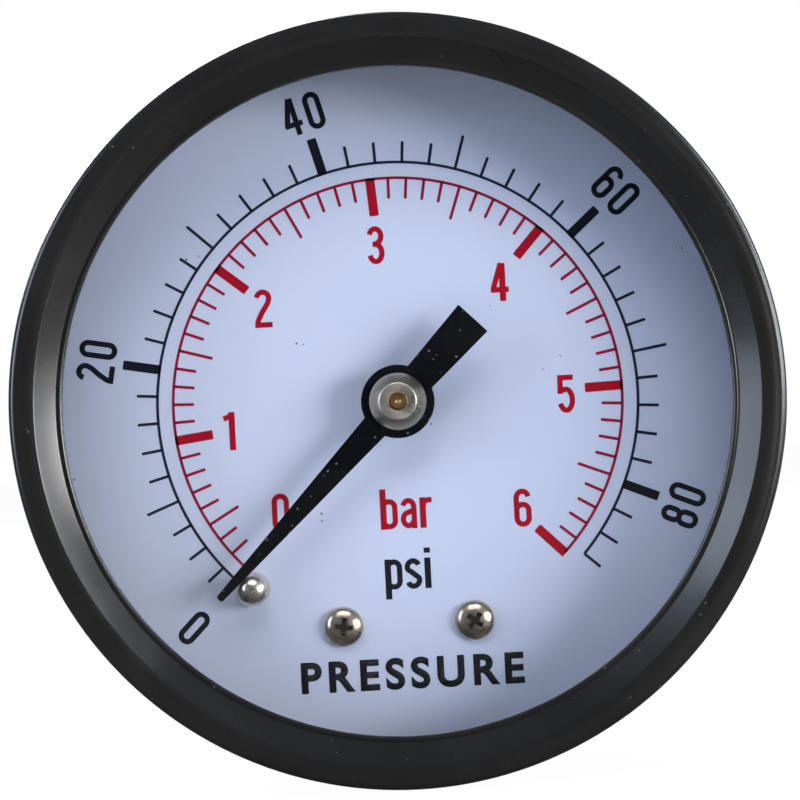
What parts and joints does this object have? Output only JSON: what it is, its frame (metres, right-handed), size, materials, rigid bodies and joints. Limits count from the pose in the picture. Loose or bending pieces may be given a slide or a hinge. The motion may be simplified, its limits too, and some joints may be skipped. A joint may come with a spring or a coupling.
{
  "type": "dial pressure gauge",
  "caption": "Round Bourdon-tube pressure gauge with a black rimmed case, a white dial with two scales, a black pointer and a threaded brass stem at the back.",
  "frame": {"origin": "centre of the end face of the threaded stem, where the gauge is screwed into its pipe or pump", "axes": "+Y out of the stem (away from the dial), -Y the way the dial looks, +Z 12 o'clock, +X 3 o'clock"},
  "size_m": [0.053, 0.0503, 0.053],
  "materials": {
    "case_paint": "glossy black stove enamel on pressed steel",
    "clear_plastic": "clear polycarbonate, polished",
    "dial_face": "satin white print ground on aluminium, black and red print",
    "pointer_black": "satin black on aluminium",
    "nickel": "bright nickel plating, machined",
    "brass": "machined brass, fine turning marks",
    "spring_bronze": "drawn phosphor bronze, slightly toned",
    "steel": "ground bright steel"
  },
  "bodies": {
    "root": {"case": "case_paint", "window": "clear_plastic", "dial": "dial_face", "dial_screw_left": "nickel", "dial_screw_right": "nickel", "stop_pin": "nickel", "hairspring": "spring_bronze", "hairspring_stud": "brass", "movement_bottom_plate": "brass", "movement_top_plate": "brass", "pillar_1": "brass", "pillar_2": "brass", "pillar_3": "brass", "plate_screw_1": "brass", "plate_screw_2": "brass", "plate_screw_3": "brass", "movement_screw_1": "brass", "movement_screw_2": "brass", "bourdon_tube": "spring_bronze", "socket": "brass", "case_screw_left": "nickel", "case_screw_right": "nickel"},
    "pointer": {"pointer": "pointer_black", "pointer_bush": "nickel", "pinion_shaft": "brass", "hairspring_collet": "brass"},
    "sector": {"sector_gear": "brass", "sector_arbor": "steel", "sector_link_pin": "steel"},
    "tube_tip": {"tube_end_piece": "brass", "tip_link_pin": "steel"},
    "link": {"link": "brass"}
  },
  "joints": [
    {"name": "pointer_turn", "type": "hinge", "parent": "root", "child": "pointer", "pos_m": [0, -0.0434, 0], "axis": [0, 1, 0], "range_deg": [0, 280], "stiffness_Nm_per_rad": 0.000002, "deforming": ["hairspring"]},
    {"name": "sector_turn", "type": "hinge", "parent": "root", "child": "sector", "pos_m": [0.0082, -0.0328, -0.0055], "axis": [0, 1, 0], "range_deg": [-28.1, 0]},
    {"name": "tube_opening", "type": "hinge", "parent": "root", "child": "tube_tip", "pos_m": [-0.0034, -0.032, 0.0054], "axis": [0, 1, 0], "range_deg": [-6.1, 0], "deforming": ["bourdon_tube"]},
    {"name": "link_swing", "type": "hinge", "parent": "tube_tip", "child": "link", "pos_m": [0.015, -0.0338, -0.0045], "axis": [0, 1, 0], "range_deg": [0, 2.1]}
  ],
  "couplings": [
    {"joint": "sector_turn", "follows": "pointer_turn", "ratio": -0.1},
    {"joint": "tube_opening", "follows": "pointer_turn", "ratio": -0.0215},
    {"joint": "link_swing", "follows": "pointer_turn", "ratio": 0.007}
  ]
}
